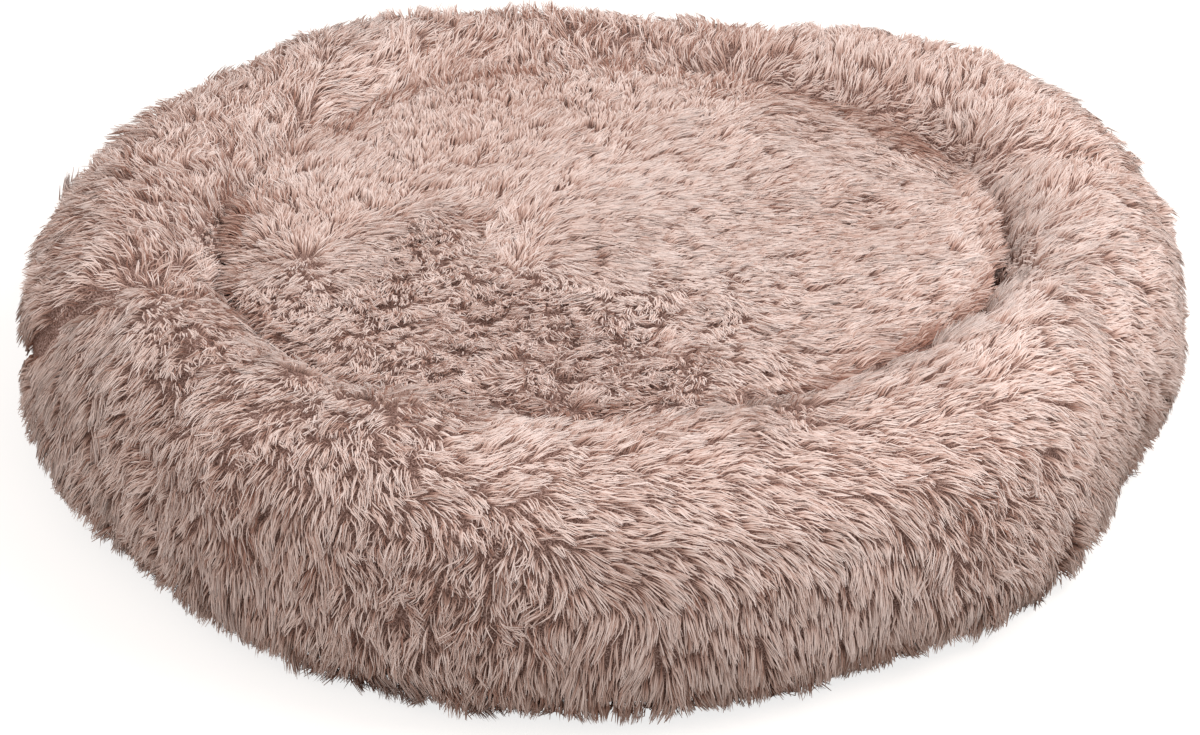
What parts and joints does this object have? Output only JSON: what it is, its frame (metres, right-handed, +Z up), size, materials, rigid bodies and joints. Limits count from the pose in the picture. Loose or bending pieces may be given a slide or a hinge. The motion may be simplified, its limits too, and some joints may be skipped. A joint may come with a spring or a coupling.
{
  "type": "round pet bed",
  "caption": "Round plush pet bed: fur rim round a domed fur seat, stuffed liner inside, zip with slider and pull underneath.",
  "frame": {"origin": "middle of the bed's outline, on the floor plane", "axes": "+Z up; front of the bed towards -Y; +X to the right seen from the front, along the zip towards its closed end"},
  "size_m": [0.9058, 0.9052, 0.1893],
  "materials": {
    "faux_fur": "long pile faux fur, dusty pink taupe",
    "base_fabric": "coated woven base fabric with small anti-slip dots",
    "liner_fabric": "thin white non-woven",
    "filling": "loose polyester fibre",
    "zip_tape": "woven tape",
    "zip_coil": "nylon coil",
    "zip_metal": "nickel-plated zinc"
  },
  "bodies": {
    "cover": {"rim_fur_panel_front": "faux_fur", "rim_fur_panel_rear": "faux_fur", "seat_fur_panel": "faux_fur", "base_panel_front": "base_fabric", "base_panel_rear": "base_fabric", "base_binding": "base_fabric", "liner_rim_top": "liner_fabric", "liner_chamber_wall": "liner_fabric", "liner_seat_top": "liner_fabric", "liner_base": "liner_fabric", "rim_filling": "filling", "seat_filling": "filling", "zip_tape_front": "zip_tape", "zip_tape_rear": "zip_tape", "zip_coil_front": "zip_coil", "zip_coil_rear": "zip_coil", "zip_top_stop_front": "zip_metal", "zip_top_stop_rear": "zip_metal", "zip_bottom_stop": "zip_metal"},
    "slider": {"zip_slider": "zip_metal"},
    "pull": {"zip_pull": "zip_metal"}
  },
  "joints": [
    {"name": "zip_travel", "type": "slide", "parent": "cover", "child": "slider", "axis": [-1, 0, 0], "range_m": [0, 0.478], "deforming": ["zip_coil_front", "zip_coil_rear"]},
    {"name": "pull_swing", "type": "hinge", "parent": "slider", "child": "pull", "pos_m": [0.2411, 0.01007, 0.00225], "axis": [0, -1, 0], "range_deg": [0, 175]}
  ]
}
